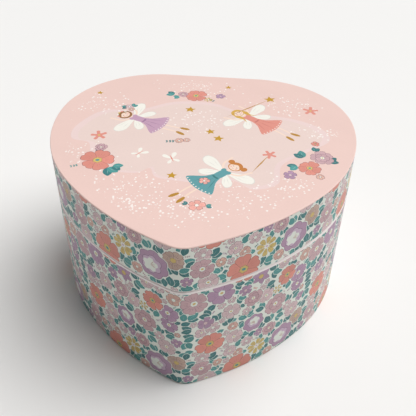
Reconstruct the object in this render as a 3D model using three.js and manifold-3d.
// A heart-shaped wind-up music box: a paper-wrapped board box with a hinged lid, a mirror in the lid, ring
// rolls, three compartments, and a comb movement that turns a small dancer while the cylinder plays.
// Millimetres, +Z up. The origin is on the underside, at the middle of the heart. The point of the heart
// faces -Y, and the hinges and the winding key are at the straight back, at +Y.
import * as THREE from "three";
import { mergeVertices } from "three/addons/utils/BufferGeometryUtils.js";
import Module from "manifold-3d";

const wasm = await Module();
wasm.setup();
const { degToRad } = THREE.MathUtils;

// ---- Driving dimensions -------------------------------------------------------------------------

// The heart's outline: a straight back, then three arcs down each side, which share tangents, and a tip.
const BACK_Y = 80.6;
const BACK_HALF = 28.6;
const LOBE_R = 56.3;
const LOBE_END = degToRad(4.2);
const FLANK_R = 90.7;
const FLANK_END = degToRad(-40);
const NOSE_R = 152.3;
const TIP_R = 12.2;
const LEAST_TIP_R = 3;
const ARC_STEPS = { lobe: 10, flank: 5, nose: 5, tip: 4 };

// Heights of the box, and the thickness of its board and papers.
const HEIGHT = 100;
const RIM_Z = 71.7;
const LID_Z = 72.1;
const PAPER = 0.3;
const BOARD = 2;
const LINED = 2 * PAPER + BOARD;
const FIT = 0.1;

// The fittings inside the base.
const FLOOR_Z = PAPER + BOARD;
const PAD_Z = FLOOR_Z + 1;
const DECK_Z = 52;
const DECK_HALF = 45;
const BAY_FRONT_Y = 0;
const ROLLS = { count: 4, length: 61.4, width: 6.6, height: 9.5, pitch: 7, firstY: 9.5, bottomZ: 45.5 };

// The mirror in the lid.
const SURROUND_Z = 95;
const SURROUND_T = 1.4;
const MIRROR_INSET = 18;

// The hinges, on the straight back.
const HINGE = { x: 17, width: 16, y: 82.2, z: 71.9, knuckleR: 1.4, pinR: 0.6, leafT: 0.7, leafH: 12 };

// The movement. Its bedplate stands behind the deck, parallel to the back wall.
const ARBOR_Z = 27;
const BED = { y: 73, t: 2, left: -18, right: 41, bottom: 7, top: 47 };
const BARREL = { r: 13, wall: 1.2, backY: 72.6, frontY: 59, faceT: 1.5 };
const CROWN = { teeth: 24, pitchR: 11, inner: 9.3, outer: 12.9, height: 1.5, root: 1.3, tip: 0.8 };
const PINION = { teeth: 10, rootR: 3.7, tipR: 5.1, root: 1.2, tip: 0.6, width: 3 };
const PITCH_R = (CROWN.pitchR * PINION.teeth) / CROWN.teeth;
const SHAFT_Y = BARREL.frontY - CROWN.height / 2 - PITCH_R;
const WHEEL = { teeth: 24, rootR: 6, tipR: 7, root: 0.8, tip: 0.35, width: 1.4, x: 36.5 };
const WORM = { threadR: 0.42, helixR: 1.5, starts: 2, length: 5.2, centre: 8.5 };
const WORM_Y = SHAFT_Y + WORM.centre;
const DRUM = { r: 5.8, from: 15.4, to: 31.2, pinR: 0.3, pinH: 0.6 };
const POSTS = [
  [13.3, 14.9],
  [31.7, 33.3],
];
const COMB = { teeth: 16, bottom: 8, root: 13.5, tip: 20.2, t: 0.8 };
const MOUNT_SCREWS = [
  [-14, 14],
  [24, 14],
  [5, 44],
];
const FAN = { r: 5, bottom: 34, top: 40 };

// The stop pin, which the lid holds down.
const STOP = { x: 28, y: 69, r: 1.2, foot: 40.2, top: 73.1, ledge: 32.5 };

// The dancer on the turntable.
const TABLE = { r: 13, z: 52.9, t: 2.2 };
const DANCER_Z = 60.6;

// ---- Materials ----------------------------------------------------------------------------------

const paint = (color, roughness, metalness = 0) =>
  new THREE.MeshStandardMaterial({ color, roughness, metalness });
const floralPaper = paint(0xb9a3b0, 0.6);
const pinkPrint = paint(0xf3d3cf, 0.55);
const greyBoard = paint(0xb8b0a4, 0.85);
const plainPaper = paint(0xf1e4e2, 0.7);
const pinkLining = paint(0xf0c9c8, 0.7);
const pinkVelvet = paint(0xe3a9ae, 0.95);
const brassPlate = paint(0xc9a45a, 0.35, 1);
const steel = paint(0xb9bcc0, 0.3, 1);
const castZinc = paint(0x9a9ca0, 0.45, 1);
const silvered = paint(0xe8ecef, 0.03, 1);
const whitePlastic = paint(0xf4f1ec, 0.4);
const doll = paint(0xf2cdb6, 0.5);
const skirtPink = paint(0xf4b8c4, 0.6);
const pearl = paint(0xf3f0ee, 0.35);

// ---- Solids -------------------------------------------------------------------------------------

// A geometry as a manifold-3d solid.
function solid(geometry) {
  const bare = geometry.clone();
  bare.deleteAttribute("normal");
  bare.deleteAttribute("uv");
  const merged = mergeVertices(bare, 1e-4);
  return new wasm.Manifold(
    new wasm.Mesh({
      numProp: 3,
      vertProperties: merged.attributes.position.array,
      triVerts: new Uint32Array(merged.index.array),
    }),
  );
}

// A manifold-3d solid as a geometry, with flat faces.
function geometryOf(shape) {
  const mesh = shape.getMesh();
  const position = new Float32Array(mesh.numVert * 3);
  for (let i = 0; i < mesh.numVert; i++) {
    position.set(mesh.vertProperties.subarray(i * mesh.numProp, i * mesh.numProp + 3), i * 3);
  }
  const geometry = new THREE.BufferGeometry();
  geometry.setAttribute("position", new THREE.BufferAttribute(position, 3));
  geometry.setIndex(new THREE.BufferAttribute(mesh.triVerts, 1));
  const flat = geometry.toNonIndexed();
  flat.computeVertexNormals();
  return flat;
}

const join = (...pieces) => geometryOf(pieces.map(solid).reduce((a, b) => a.add(b)));
const cut = (piece, ...tools) => geometryOf(tools.map(solid).reduce((a, b) => a.subtract(b), solid(piece)));
const common = (a, b) => geometryOf(solid(a).intersect(solid(b)));

// A shape in the XY plane, raised from z0 to z1.
function prism(shape, z0, z1) {
  return new THREE.ExtrudeGeometry(shape, { depth: z1 - z0, bevelEnabled: false }).translate(0, 0, z0);
}

function box(x0, x1, y0, y1, z0, z1) {
  return new THREE.BoxGeometry(x1 - x0, y1 - y0, z1 - z0).translate(
    (x0 + x1) / 2,
    (y0 + y1) / 2,
    (z0 + z1) / 2,
  );
}

// A geometry made along Z, turned to lie along X or Y.
const alongX = (geometry) => geometry.rotateY(Math.PI / 2);
const alongY = (geometry) => geometry.rotateX(-Math.PI / 2);

// Round rods along each axis, between two places on it.
function rodZ(r, x, y, z0, z1, sides = 16) {
  const upright = new THREE.CylinderGeometry(r, r, z1 - z0, sides).rotateX(Math.PI / 2);
  return upright.translate(x, y, (z0 + z1) / 2);
}
const rodX = (r, y, z, x0, x1, sides = 16) =>
  alongX(rodZ(r, 0, 0, x0, x1, sides)).translate(0, y, z);
const rodY = (r, x, z, y0, y1, sides = 16) =>
  new THREE.CylinderGeometry(r, r, y1 - y0, sides).translate(x, (y0 + y1) / 2, z);

// A turned solid about Z. Its profile is a list of [radius, z] and closes on itself.
function turned(profile, sides = 20) {
  const points = profile.map(([r, z]) => new THREE.Vector2(r, z));
  if (profile[0][0] > 0) {
    points.push(points[0].clone());
  }
  return new THREE.LatheGeometry(points, sides).rotateX(Math.PI / 2);
}

class Helix extends THREE.Curve {
  constructor(radius, pitch, turns, start = 0) {
    super();
    Object.assign(this, { radius, pitch, turns, start });
  }

  getPoint(t, target = new THREE.Vector3()) {
    const angle = this.start + 2 * Math.PI * this.turns * t;
    return target.set(
      this.radius * Math.cos(angle),
      this.radius * Math.sin(angle),
      this.pitch * this.turns * t,
    );
  }
}

// A wire of a round section along a curve.
function wire(curve, radius, steps, sides = 6) {
  const section = new THREE.Shape(arc({ x: 0, y: 0 }, radius, 0, 2 * Math.PI, sides));
  return new THREE.ExtrudeGeometry(section, { steps, bevelEnabled: false, extrudePath: curve });
}

// Points on an arc, without its last one.
function arc(centre, radius, from, to, steps) {
  return Array.from({ length: steps }, (_, i) => {
    const angle = from + ((to - from) * i) / steps;
    return new THREE.Vector2(centre.x + radius * Math.cos(angle), centre.y + radius * Math.sin(angle));
  });
}

// A toothed outline, with one tooth on the +Y axis.
function gear({ teeth, rootR, tipR, root, tip }) {
  const points = [];
  for (let i = 0; i < teeth; i++) {
    const centre = Math.PI / 2 + (2 * Math.PI * i) / teeth;
    const corners = [
      [rootR, -root / 2],
      [tipR, -tip / 2],
      [tipR, tip / 2],
      [rootR, root / 2],
    ];
    for (const [r, side] of corners) {
      const angle = centre + side / r;
      points.push(new THREE.Vector2(r * Math.cos(angle), r * Math.sin(angle)));
    }
  }
  return new THREE.Shape(points);
}

// ---- The heart ----------------------------------------------------------------------------------

// The centre of the next arc of an outline, which meets the last one at this angle with a shared tangent.
function nextCentre(centre, angle, step) {
  return { x: centre.x + step * Math.cos(angle), y: centre.y + step * Math.sin(angle) };
}

// The heart's points, this far inside its outline.
function heartPoints(inset) {
  const lobe = { x: BACK_HALF, y: BACK_Y - LOBE_R };
  const flank = nextCentre(lobe, LOBE_END, LOBE_R - FLANK_R);
  const nose = nextCentre(flank, FLANK_END, FLANK_R - NOSE_R);
  const tipR = Math.max(TIP_R - inset, LEAST_TIP_R);
  const reach = NOSE_R - inset - tipR;
  const tip = { x: 0, y: nose.y - Math.sqrt(reach ** 2 - nose.x ** 2) };
  const tipAngle = Math.atan2(tip.y - nose.y, -nose.x);
  const right = [
    ...arc(nose, NOSE_R - inset, tipAngle, FLANK_END, ARC_STEPS.nose),
    ...arc(flank, FLANK_R - inset, FLANK_END, LOBE_END, ARC_STEPS.flank),
    ...arc(lobe, LOBE_R - inset, LOBE_END, Math.PI / 2, ARC_STEPS.lobe),
    new THREE.Vector2(BACK_HALF, BACK_Y - inset),
  ];
  const left = right.map((p) => new THREE.Vector2(-p.x, p.y)).reverse();
  const bottom = arc(tip, tipR, -Math.PI - tipAngle, tipAngle, ARC_STEPS.tip).slice(1);
  return [...right, ...left, ...bottom];
}

const plate = (inset, z0, z1) => prism(new THREE.Shape(heartPoints(inset)), z0, z1);

// A heart-shaped ring between two insets.
function ring(outer, inner, z0, z1) {
  const shape = new THREE.Shape(heartPoints(outer));
  shape.holes.push(new THREE.Path(heartPoints(inner)));
  return prism(shape, z0, z1);
}

// ---- The object ---------------------------------------------------------------------------------

const musicBox = new THREE.Group();

function part(name, geometry, material, parent = musicBox) {
  const mesh = new THREE.Mesh(geometry, material);
  mesh.name = name;
  parent.add(mesh);
  return mesh;
}

// The base: a board tray with floral paper outside and pink paper inside.
function base() {
  const backHoles = [
    rodY(3.5, 0, ARBOR_Z, BACK_Y - 5, BACK_Y + 5, 12),
    ...MOUNT_SCREWS.map(([x, z]) => rodY(1.5, x, z, BACK_Y - 5, BACK_Y + 5, 8)),
  ];
  part("underside_sheet", plate(1.5, 0, PAPER), plainPaper);
  part("base_floor_board", plate(PAPER, PAPER, FLOOR_Z), greyBoard);
  part("base_wall_board", cut(ring(PAPER, PAPER + BOARD, FLOOR_Z, RIM_Z), ...backHoles), greyBoard);
  part("base_floral_wrap", cut(ring(0, PAPER, PAPER, RIM_Z), ...backHoles), floralPaper);
  part("base_lining", cut(ring(PAPER + BOARD, LINED, FLOOR_Z, RIM_Z - 0.4), ...backHoles), pinkLining);
  part("floor_pad", plate(LINED + FIT, FLOOR_Z, PAD_Z), pinkVelvet);
}

// Dividers make a bay for the movement at the back, with an open compartment on each side and one in front.
function compartments() {
  const inside = plate(LINED + FIT, 0, HEIGHT);
  const deckBottom = DECK_Z - BOARD;
  const inner = DECK_HALF - BOARD;
  const back = BAY_FRONT_Y + BOARD;
  for (const [name, x] of [
    ["divider_left", -DECK_HALF],
    ["divider_right", inner],
  ]) {
    part(name, common(box(x, x + BOARD, back, BACK_Y, PAD_Z, deckBottom), inside), pinkLining);
  }
  part("divider_front", common(box(-90, 90, BAY_FRONT_Y, back, PAD_Z, deckBottom), inside), pinkLining);

  const rollsHalf = ROLLS.length / 2 + 0.5;
  const rollsFront = ROLLS.firstY - ROLLS.pitch / 2 - 0.3;
  const rollsBack = rollsFront + ROLLS.count * ROLLS.pitch + 0.6;
  const deck = common(box(-DECK_HALF, DECK_HALF, BAY_FRONT_Y, BACK_Y, deckBottom, DECK_Z), inside);
  const deckHoles = [
    box(-rollsHalf, rollsHalf, rollsFront, rollsBack, deckBottom - 1, DECK_Z + 1),
    rodZ(2.7, 0, SHAFT_Y, deckBottom - 1, DECK_Z + 1),
    rodZ(2.7, STOP.x, STOP.y, deckBottom - 1, DECK_Z + 1),
  ];
  part("deck_board", cut(deck, ...deckHoles), pinkVelvet);

  // A shallow tray under the deck holds the ring rolls.
  const bedOuter = box(
    -rollsHalf - 3,
    rollsHalf + 3,
    rollsFront - 1.6,
    rollsBack + 3,
    ROLLS.bottomZ - 1.5,
    deckBottom,
  );
  const bedInner = box(-rollsHalf, rollsHalf, rollsFront, rollsBack, ROLLS.bottomZ, deckBottom + 1);
  part("ring_bed", cut(bedOuter, bedInner), greyBoard);
  for (let i = 0; i < ROLLS.count; i++) {
    part(`ring_roll_${i + 1}`, ringRoll(ROLLS.firstY + i * ROLLS.pitch), pinkVelvet);
  }
}

// A foam roll with a round top, lying along X.
function ringRoll(y) {
  const r = ROLLS.width / 2;
  const profile = new THREE.Shape([
    new THREE.Vector2(-r, 0),
    new THREE.Vector2(r, 0),
    ...arc({ x: 0, y: ROLLS.height - r }, r, 0, Math.PI, 8),
    new THREE.Vector2(-r, ROLLS.height - r),
  ]);
  const roll = prism(profile, -ROLLS.length / 2, ROLLS.length / 2);
  return roll.rotateX(Math.PI / 2).rotateZ(Math.PI / 2).translate(0, y, ROLLS.bottomZ);
}

// The lid: a shallow board tray turned over, with a printed sheet on top and a mirror inside.
function lid() {
  const boardZ = HEIGHT - PAPER - BOARD;
  part("lid_wall_board", ring(PAPER, PAPER + BOARD, LID_Z, boardZ), greyBoard);
  part("lid_board", plate(PAPER, boardZ, HEIGHT - PAPER), greyBoard);
  part("lid_floral_wrap", ring(0, PAPER, LID_Z, HEIGHT - PAPER), floralPaper);
  part("lid_top_print", plate(0, HEIGHT - PAPER, HEIGHT), pinkPrint);
  part("lid_lining", ring(PAPER + BOARD, LINED, LID_Z + 0.4, boardZ), pinkLining);
  part("mirror", plate(MIRROR_INSET, SURROUND_Z + SURROUND_T + FIT, boardZ), silvered);
  const surround = ring(LINED + FIT, MIRROR_INSET + 2, SURROUND_Z, SURROUND_Z + SURROUND_T);
  part("mirror_surround", surround, pinkPrint);
  const wallY = BACK_Y - LINED - 0.3;
  part("lid_stop_block", box(STOP.x - 3, STOP.x + 3, STOP.y - 2, wallY, STOP.top + 0.3, 81), greyBoard);
}

// Two small plated hinges, each with a leaf on the base, a leaf on the lid and a pin.
function hinges() {
  const third = HINGE.width / 3;
  const bore = rodX(HINGE.pinR + 0.2, HINGE.y, HINGE.z, -HINGE.width, HINGE.width, 8);
  const knuckle = (x0, x1) => rodX(HINGE.knuckleR, HINGE.y, HINGE.z, x0, x1, 12);
  // A tab joins each knuckle to its leaf. up is 1 for the lid's leaf and -1 for the base's.
  const tab = (x0, x1, up) => {
    const z = [HINGE.z + up * 0.2, HINGE.z + up * 3].sort((a, b) => a - b);
    return box(x0, x1, BACK_Y, BACK_Y + HINGE.leafT, ...z);
  };
  const leaf = (up) => {
    const z = [HINGE.z + up * 2, HINGE.z + up * HINGE.leafH].sort((a, b) => a - b);
    const flat = box(-HINGE.width / 2, HINGE.width / 2, BACK_Y, BACK_Y + HINGE.leafT, ...z);
    const prongs = [-4.5, 4.5].map((x) => {
      const z0 = HINGE.z + up * 8;
      return rodY(1.1, x, z0, BACK_Y + HINGE.leafT - 0.1, BACK_Y + HINGE.leafT + 0.5, 8);
    });
    return [flat, ...prongs];
  };
  for (const [side, x] of [
    ["left", -HINGE.x],
    ["right", HINGE.x],
  ]) {
    const hinge = new THREE.Group();
    hinge.position.x = x;
    musicBox.add(hinge);
    const half = HINGE.width / 2;
    const middle = third / 2;
    const baseLeaf = join(
      ...leaf(-1),
      knuckle(-half, -middle - 0.2),
      knuckle(middle + 0.2, half),
      tab(-half, -middle - 0.2, -1),
      tab(middle + 0.2, half, -1),
    );
    const lidLeaf = join(...leaf(1), knuckle(-middle, middle), tab(-middle, middle, 1));
    part(`hinge_${side}_base_leaf`, cut(baseLeaf, bore), brassPlate, hinge);
    part(`hinge_${side}_lid_leaf`, cut(lidLeaf, bore), brassPlate, hinge);
    const pin = rodX(HINGE.pinR, HINGE.y, HINGE.z, -half - 0.4, half + 0.4, 8);
    part(`hinge_${side}_pin`, pin, brassPlate, hinge);
  }
}

// The cast bedplate with its posts, screwed to the back wall through three bosses.
function bedplate() {
  const shelf = box(-4.5, 4.5, SHAFT_Y - 4, BED.y + 1, 42.4, 44.4);
  const ledge = box(STOP.x - 3, STOP.x + 3, STOP.y - 3, BED.y + 1, STOP.ledge - 1.5, STOP.ledge);
  const posts = POSTS.map(([x0, x1]) => box(x0, x1, SHAFT_Y - 3, BED.y + 1, ARBOR_Z - 3.5, ARBOR_Z + 3.5));
  const combSeat = box(DRUM.from, DRUM.to, SHAFT_Y + COMB.t / 2, BED.y + 1, COMB.bottom, COMB.root);
  const bosses = MOUNT_SCREWS.map(([x, z]) => rodY(3, x, z, BED.y + 1, BACK_Y - LINED - FIT, 12));
  const slab = box(BED.left, BED.right, BED.y, BED.y + BED.t, BED.bottom, BED.top);
  const bores = [
    rodZ(1.45, 0, SHAFT_Y, 40, 46, 8),
    rodX(1.25, SHAFT_Y, ARBOR_Z, 12, 35, 8),
    rodY(2, 0, ARBOR_Z, BED.y - 1, BACK_Y, 8),
    ...MOUNT_SCREWS.map(([x, z]) => rodY(1.3, x, z, BED.y - 1, BACK_Y, 8)),
    ...[DRUM.from + 3, DRUM.to - 3].map((x) => rodY(1, x, 10.7, SHAFT_Y, SHAFT_Y + 8, 8)),
  ];
  const body = cut(join(slab, shelf, ledge, combSeat, ...posts, ...bosses), ...bores);
  part("movement_bedplate", body, castZinc);
  MOUNT_SCREWS.forEach(([x, z], i) => {
    const head = rodY(2.7, x, z, BACK_Y + 0.02, BACK_Y + 1.4, 14);
    const shank = rodY(1.1, x, z, BED.y + 0.6, BACK_Y + 0.5, 10);
    const slot = box(x - 3, x + 3, BACK_Y + 0.8, BACK_Y + 2, z - 0.35, z + 0.35);
    part(`movement_screw_${i + 1}`, cut(join(head, shank), slot), steel);
  });
}

// The spring barrel turns on the winding arbor. Crown teeth on its front drive both pinions.
function barrel() {
  const group = new THREE.Group();
  group.position.set(0, BARREL.frontY, ARBOR_Z);
  musicBox.add(group);
  const depth = BARREL.backY - BARREL.frontY;
  const cup = turned(
    [
      [2, 0],
      [BARREL.r, 0],
      [BARREL.r, depth],
      [BARREL.r - BARREL.wall, depth],
      [BARREL.r - BARREL.wall, BARREL.faceT],
      [2, BARREL.faceT],
    ],
    28,
  );
  const tooth = new THREE.Shape([
    new THREE.Vector2(-CROWN.root / 2, 0.2),
    new THREE.Vector2(-CROWN.tip / 2, -CROWN.height),
    new THREE.Vector2(CROWN.tip / 2, -CROWN.height),
    new THREE.Vector2(CROWN.root / 2, 0.2),
  ]);
  const teeth = Array.from({ length: CROWN.teeth }, (_, i) => {
    const turn = ((i + 0.5) * 2 * Math.PI) / CROWN.teeth;
    return prism(tooth, CROWN.inner, CROWN.outer).rotateX(Math.PI / 2).rotateZ(turn);
  });
  part("spring_barrel", alongY(join(cup, ...teeth)), brassPlate, group);

  const spring = { inner: 2.6, outer: 11.2, turns: 3, t: 0.4, steps: 39 };
  const coil = (offset) =>
    Array.from({ length: spring.steps + 1 }, (_, i) => {
      const r = spring.inner + ((spring.outer - spring.inner) * i) / spring.steps + offset;
      const angle = (2 * Math.PI * spring.turns * i) / spring.steps;
      return new THREE.Vector2(r * Math.cos(angle), r * Math.sin(angle));
    });
  const strip = new THREE.Shape([...coil(spring.t), ...coil(0).reverse()]);
  part("mainspring", alongY(prism(strip, BARREL.faceT + 0.4, depth - 0.6)), steel, group);
}

// The key and its arbor turn together to wind the mainspring.
function winder() {
  part("winding_arbor", rodY(1.6, 0, ARBOR_Z, BARREL.frontY - 1.2, BACK_Y + 9, 14), steel);
  const hub = alongY(
    turned(
      [
        [1.9, 1.6],
        [3.2, 1.6],
        [3.6, 2.2],
        [3.2, 9],
        [2.4, 13],
        [0, 13],
        [0, 9.6],
        [1.9, 9.6],
      ],
      16,
    ),
  ).translate(0, BACK_Y, ARBOR_Z);
  const bow = new THREE.Shape([
    ...arc({ x: 7, y: 0 }, 5, degToRad(-140), degToRad(140), 14),
    ...arc({ x: -7, y: 0 }, 5, degToRad(40), degToRad(320), 14),
  ]);
  bow.holes.push(...[7.4, -7.4].map((x) => new THREE.Path(arc({ x, y: 0 }, 2.4, 0, 2 * Math.PI, 12))));
  const wings = prism(bow, -0.8, 0.8).rotateY(Math.PI / 2).translate(0, BACK_Y + 14.5, ARBOR_Z);
  part("winding_key", join(hub, wings), steel);
  const grommet = turned(
    [
      [2.4, -LINED + 0.2],
      [3.3, -LINED + 0.2],
      [3.3, 0.05],
      [6.4, 0.05],
      [6, 0.9],
      [2.4, 0.9],
    ],
    16,
  );
  part("key_grommet", alongY(grommet).translate(0, BACK_Y, ARBOR_Z), brassPlate);
}

// The pinned cylinder, its pinion and the wheel that drives the governor share one arbor.
function cylinder() {
  part("cylinder_arbor", rodX(1, SHAFT_Y, ARBOR_Z, 8.8, WHEEL.x + 1.8, 12), steel);
  const pinion = gear(PINION);
  pinion.holes.push(new THREE.Path(arc({ x: 0, y: 0 }, 1.15, 0, 2 * Math.PI, 12)));
  const half = PINION.width / 2;
  const side = part("cylinder_pinion", alongX(prism(pinion, -half, half)), steel);
  side.position.set(CROWN.pitchR, SHAFT_Y, ARBOR_Z);

  const wheel = gear(WHEEL);
  wheel.holes.push(new THREE.Path(arc({ x: 0, y: 0 }, 1.15, 0, 2 * Math.PI, 12)));
  const disc = alongX(prism(wheel, -WHEEL.width / 2, WHEEL.width / 2));
  part("governor_wheel", disc, brassPlate).position.set(WHEEL.x, SHAFT_Y, ARBOR_Z);

  const length = DRUM.to - DRUM.from;
  const drum = turned(
    [
      [1.15, 0],
      [DRUM.r, 0],
      [DRUM.r, length],
      [1.15, length],
    ],
    24,
  );
  const pins = [];
  const pitch = length / COMB.teeth;
  for (let note = 0; note < COMB.teeth; note++) {
    for (const beat of [0, 1]) {
      const angle = note * 2.4 + beat * (1.9 + (note % 3) * 0.5);
      const pin = box(DRUM.r - 0.4, DRUM.r + DRUM.pinH, -DRUM.pinR, DRUM.pinR, -DRUM.pinR, DRUM.pinR);
      pins.push(pin.rotateZ(angle).translate(0, 0, (note + 0.5) * pitch));
    }
  }
  const pinned = part("pinned_cylinder", alongX(join(drum, ...pins)), brassPlate);
  pinned.position.set(DRUM.from, SHAFT_Y, ARBOR_Z);
}

// The steel comb stands in front of the bedplate, with its tips just under the cylinder's pins.
function comb() {
  const pitch = (DRUM.to - DRUM.from) / COMB.teeth;
  const y0 = SHAFT_Y - COMB.t / 2;
  const y1 = SHAFT_Y + COMB.t / 2 - 0.05;
  const blank = box(DRUM.from, DRUM.to, y0, y1, COMB.bottom, COMB.tip);
  const gaps = Array.from({ length: COMB.teeth - 1 }, (_, i) => {
    const x = DRUM.from + (i + 1) * pitch;
    const root = COMB.root + (i * 2.5) / COMB.teeth;
    return box(x - 0.15, x + 0.15, y0 - 1, y1 + 1, root, COMB.tip + 1);
  });
  const seats = [DRUM.from + 3, DRUM.to - 3];
  const holes = seats.map((x) => rodY(1, x, 10.7, y0 - 1, y1 + 1, 8));
  part("comb", cut(blank, ...gaps, ...holes), steel);
  seats.forEach((x, i) => {
    const head = rodY(1.8, x, 10.7, y0 - 1.3, y0 - 0.03, 12);
    const shank = rodY(0.8, x, 10.7, y0 - 0.5, SHAFT_Y + 7, 8);
    part(`comb_screw_${i ? "right" : "left"}`, join(head, shank), steel);
  });
}

// The governor: a worm that the wheel spins, with an air fan that holds the speed down.
function governor() {
  const spin = new THREE.Group();
  spin.position.set(WHEEL.x, WORM_Y, 0);
  musicBox.add(spin);
  // Facing the wheel, the threads lie half a tooth above and below the tooth at the wheel's middle.
  const pitch = (Math.PI * (WHEEL.rootR + WHEEL.tipR)) / WHEEL.teeth;
  const lead = pitch * WORM.starts;
  const low = ARBOR_Z - WORM.length / 2;
  const threads = Array.from({ length: WORM.starts }, (_, i) => {
    const meets = ARBOR_Z + (0.5 + i) * pitch;
    const start = -Math.PI / 2 + (2 * Math.PI * (low - meets)) / lead;
    return wire(new Helix(WORM.helixR, lead, WORM.length / lead, start), WORM.threadR, 12, 5)
      .translate(0, 0, low);
  });
  const core = rodZ(WORM.helixR - 0.05, 0, 0, low - 0.8, low + WORM.length + 0.8, 10);
  const shaft = rodZ(0.8, 0, 0, 17.8, 48.2, 8);
  part("governor_worm", join(shaft, core, ...threads), steel, spin);
  const blades = box(-FAN.r, FAN.r, -0.25, 0.25, FAN.bottom, FAN.top);
  const hub = rodZ(1.7, 0, 0, FAN.bottom + 0.5, FAN.top - 0.5, 12);
  const bore = rodZ(0.95, 0, 0, FAN.bottom - 1, FAN.top + 1, 10);
  part("air_fan", cut(join(blades, hub), bore), whitePlastic, spin);

  const x = [WHEEL.x - 2.5, WHEEL.x + 3.5];
  const spine = box(...x, BED.y - 1.5, BED.y - 0.05, 17.5, 49);
  const arms = [
    [17.5, 19],
    [47.5, 49],
  ].map((z) => box(...x, WORM_Y - 2.5, BED.y - 1, ...z));
  const bearing = rodZ(1, WHEEL.x, WORM_Y, 17, 50, 10);
  part("governor_bracket", cut(join(spine, ...arms), bearing), castZinc);
}

// The stop pin: while the lid holds it down, its foot presses on the fan. A spring lifts it.
function stopPin() {
  const rod = rodZ(STOP.r, STOP.x, STOP.y, STOP.foot, STOP.top, 12);
  const reach = Math.hypot(WHEEL.x - STOP.x, WORM_Y - STOP.y) - 2.6;
  const foot = box(0, reach, -1.3, 1.3, 0, 1.2)
    .rotateZ(Math.atan2(WORM_Y - STOP.y, WHEEL.x - STOP.x))
    .translate(STOP.x, STOP.y, STOP.foot);
  part("stop_pin", join(rod, foot), whitePlastic);
  const coil = new Helix(1.9, 1.75, (STOP.foot - STOP.ledge - 1) / 1.75);
  const spring = wire(coil, 0.3, 32, 5).translate(STOP.x, STOP.y, STOP.ledge + 0.5);
  part("stop_spring", spring, steel);
  part("stop_pin_guide", bushing(STOP.r + 0.2).translate(STOP.x, STOP.y, 0), whitePlastic);
}

// A flanged bushing for a hole in the deck.
function bushing(boreR) {
  const deckBottom = DECK_Z - BOARD;
  return turned(
    [
      [boreR, deckBottom],
      [2.6, deckBottom],
      [2.6, DECK_Z + 0.02],
      [3.8, DECK_Z + 0.02],
      [3.5, DECK_Z + 0.5],
      [boreR, DECK_Z + 0.5],
    ],
    16,
  );
}

// The turntable: a spindle with its own pinion on the crown teeth, a disc, a coil and the dancer.
function dancer() {
  const table = new THREE.Group();
  table.position.set(0, SHAFT_Y, 0);
  musicBox.add(table);
  part("spindle_bushing", bushing(1.5), whitePlastic, table);

  const pinionZ = ARBOR_Z + CROWN.pitchR;
  part("figurine_spindle", rodZ(1.2, 0, 0, pinionZ - 2.4, TABLE.z + 1, 12), steel, table);
  const pinion = gear(PINION);
  pinion.holes.push(new THREE.Path(arc({ x: 0, y: 0 }, 1.35, 0, 2 * Math.PI, 12)));
  const half = PINION.width / 2;
  part("spindle_pinion", prism(pinion, pinionZ - half, pinionZ + half), steel, table);

  const disc = turned(
    [
      [0, TABLE.z + 1.2],
      [1.4, TABLE.z + 1.2],
      [1.4, TABLE.z],
      [TABLE.r, TABLE.z],
      [TABLE.r, TABLE.z + TABLE.t - 0.6],
      [TABLE.r - 0.6, TABLE.z + TABLE.t],
      [0, TABLE.z + TABLE.t],
    ],
    28,
  );
  part("turntable_disc", disc, whitePlastic, table);

  const springZ = TABLE.z + TABLE.t + 0.5;
  const coil = wire(new Helix(2.3, 1.3, 3.5), 0.4, 32, 5).translate(0, 0, springZ);
  part("figurine_spring", coil, brassPlate, table);
  part("figurine_body", dancerBody(), doll, table);

  const tutuZ = DANCER_Z + 14;
  const tutu = turned(
    [
      [3, tutuZ + 0.6],
      [7, tutuZ - 0.2],
      [11.6, tutuZ - 1],
      [12, tutuZ - 0.6],
      [11.8, tutuZ],
      [7, tutuZ + 1.6],
      [3, tutuZ + 2.4],
    ],
    24,
  );
  part("figurine_tutu", tutu, skirtPink, table);
  part("figurine_wings", fairyWings(), pearl, table);
}

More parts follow.
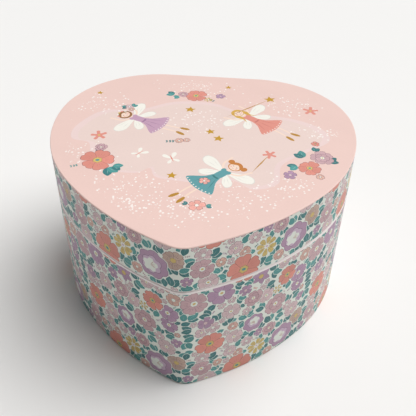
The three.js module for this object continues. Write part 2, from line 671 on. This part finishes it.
// The dancer: legs, bodice and head turned about one axis, with both arms raised in a ring.
function dancerBody() {
  const z = DANCER_Z;
  const figure = turned(
    [
      [0, z],
      [2.7, z],
      [2.7, z + 0.7],
      [0.8, z + 1],
      [1.2, z + 3],
      [1.7, z + 8],
      [2.5, z + 13],
      [2.6, z + 15],
      [1.8, z + 17.5],
      [2.5, z + 20.5],
      [2.3, z + 22],
      [0.9, z + 22.8],
      [0.9, z + 24],
      [0, z + 24],
    ],
    14,
  );
  const head = new THREE.SphereGeometry(2.6, 12, 9).translate(0, 0, z + 26);
  const bun = new THREE.SphereGeometry(1.3, 8, 6).translate(0, 0.4, z + 29.2);
  const arms = [-1, 1].map((side) => {
    const path = new THREE.CatmullRomCurve3([
      new THREE.Vector3(side * 1.6, 0, z + 21.4),
      new THREE.Vector3(side * 4.4, -0.6, z + 23.5),
      new THREE.Vector3(side * 4.9, -1, z + 27),
      new THREE.Vector3(side * 3.2, -1, z + 30.6),
      new THREE.Vector3(side * 0.7, -1, z + 32.2),
    ]);
    return wire(path, 0.62, 8, 5);
  });
  return join(figure, head, bun, ...arms);
}

// Two pairs of flat wings behind the dancer.
function fairyWings() {
  const wing = (length, width, turn) =>
    new THREE.Shape(
      arc({ x: 0, y: 0 }, 1, 0, 2 * Math.PI, 14).map((p) => {
        const taper = 1 + 0.35 * p.x;
        const x = (length / 2) * (p.x + 1);
        return new THREE.Vector2(x, (width / 2) * p.y * taper).rotateAround(new THREE.Vector2(), turn);
      }),
    );
  const shapes = [
    wing(12.5, 6, degToRad(38)),
    wing(12.5, 6, degToRad(142)),
    wing(9, 4.4, degToRad(-10)),
    wing(9, 4.4, degToRad(190)),
  ];
  const plates = shapes.map((shape) => prism(shape, 0, 0.6));
  const stem = rodZ(1.4, 0, 0, -0.2, 0.8, 10);
  return join(stem, ...plates).rotateX(Math.PI / 2).translate(0, 3.4, DANCER_Z + 21.5);
}

base();
compartments();
lid();
hinges();
bedplate();
barrel();
winder();
cylinder();
comb();
governor();
stopPin();
dancer();

export default musicBox;
